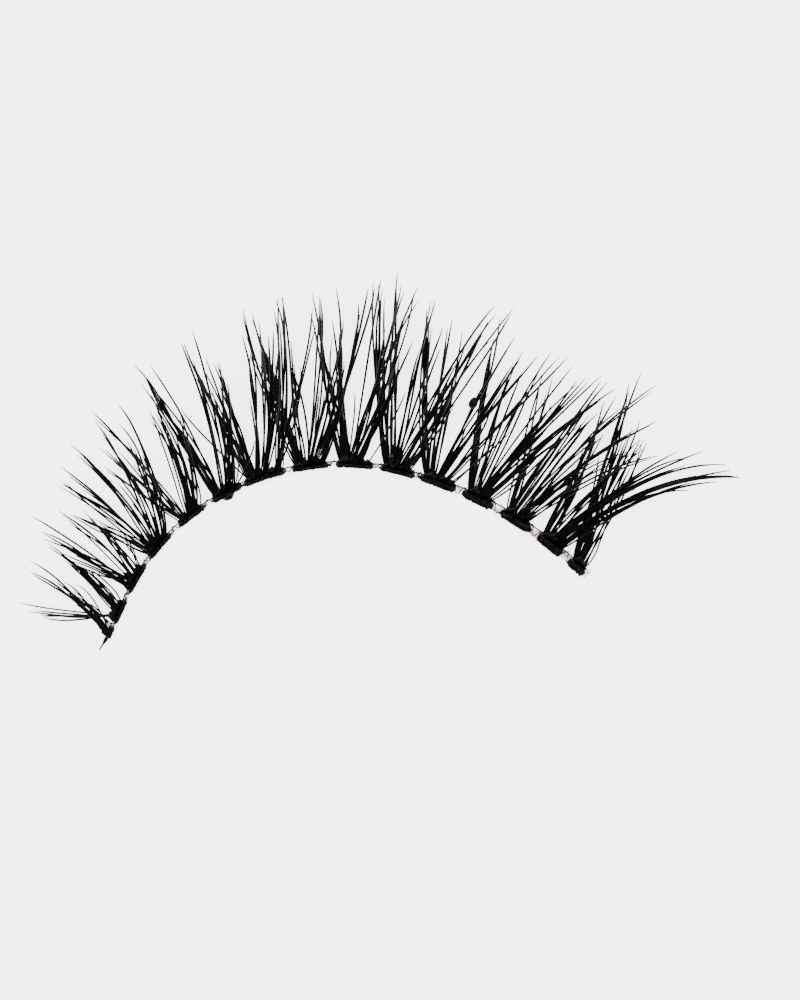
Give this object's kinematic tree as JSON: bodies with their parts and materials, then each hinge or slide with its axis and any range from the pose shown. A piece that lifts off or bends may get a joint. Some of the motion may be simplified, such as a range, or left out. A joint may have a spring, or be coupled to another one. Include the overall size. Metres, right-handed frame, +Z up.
{
  "type": "false eyelash strip",
  "caption": "False eyelash strip: criss-cross locks of black fibre, tied in clusters with thread on a clear arched band that is glued along the upper lid.",
  "frame": {"origin": "the middle of the band's length, on the flat underside of the thread wraps that the strip rests on and is glued by", "axes": "+X along the band from the inner corner to the outer corner, +Y out along the lashes, +Z up, the way the lashes curl"},
  "size_m": [0.0399, 0.0234, 0.0084],
  "materials": {
    "clear_film": "clear glossy film",
    "black_thread": "black thread stiffened with dried glue",
    "black_fibre": "satin black synthetic fibre"
  },
  "bodies": {
    "root": {"film_band": "clear_film", "thread_wrap_01": "black_thread", "thread_wrap_02": "black_thread", "thread_wrap_03": "black_thread", "thread_wrap_04": "black_thread", "thread_wrap_05": "black_thread", "thread_wrap_06": "black_thread", "thread_wrap_07": "black_thread", "thread_wrap_08": "black_thread", "thread_wrap_09": "black_thread", "thread_wrap_10": "black_thread", "thread_wrap_11": "black_thread", "thread_wrap_12": "black_thread", "thread_wrap_13": "black_thread", "thread_wrap_14": "black_thread", "thread_wrap_15": "black_thread", "lash_cluster_01": "black_fibre", "lash_cluster_02": "black_fibre", "lash_cluster_03": "black_fibre", "lash_cluster_04": "black_fibre", "lash_cluster_05": "black_fibre", "lash_cluster_06": "black_fibre", "lash_cluster_07": "black_fibre", "lash_cluster_08": "black_fibre", "lash_cluster_09": "black_fibre", "lash_cluster_10": "black_fibre", "lash_cluster_11": "black_fibre", "lash_cluster_12": "black_fibre", "lash_cluster_13": "black_fibre", "lash_cluster_14": "black_fibre", "lash_cluster_15": "black_fibre"}
  },
  "joints": []
}
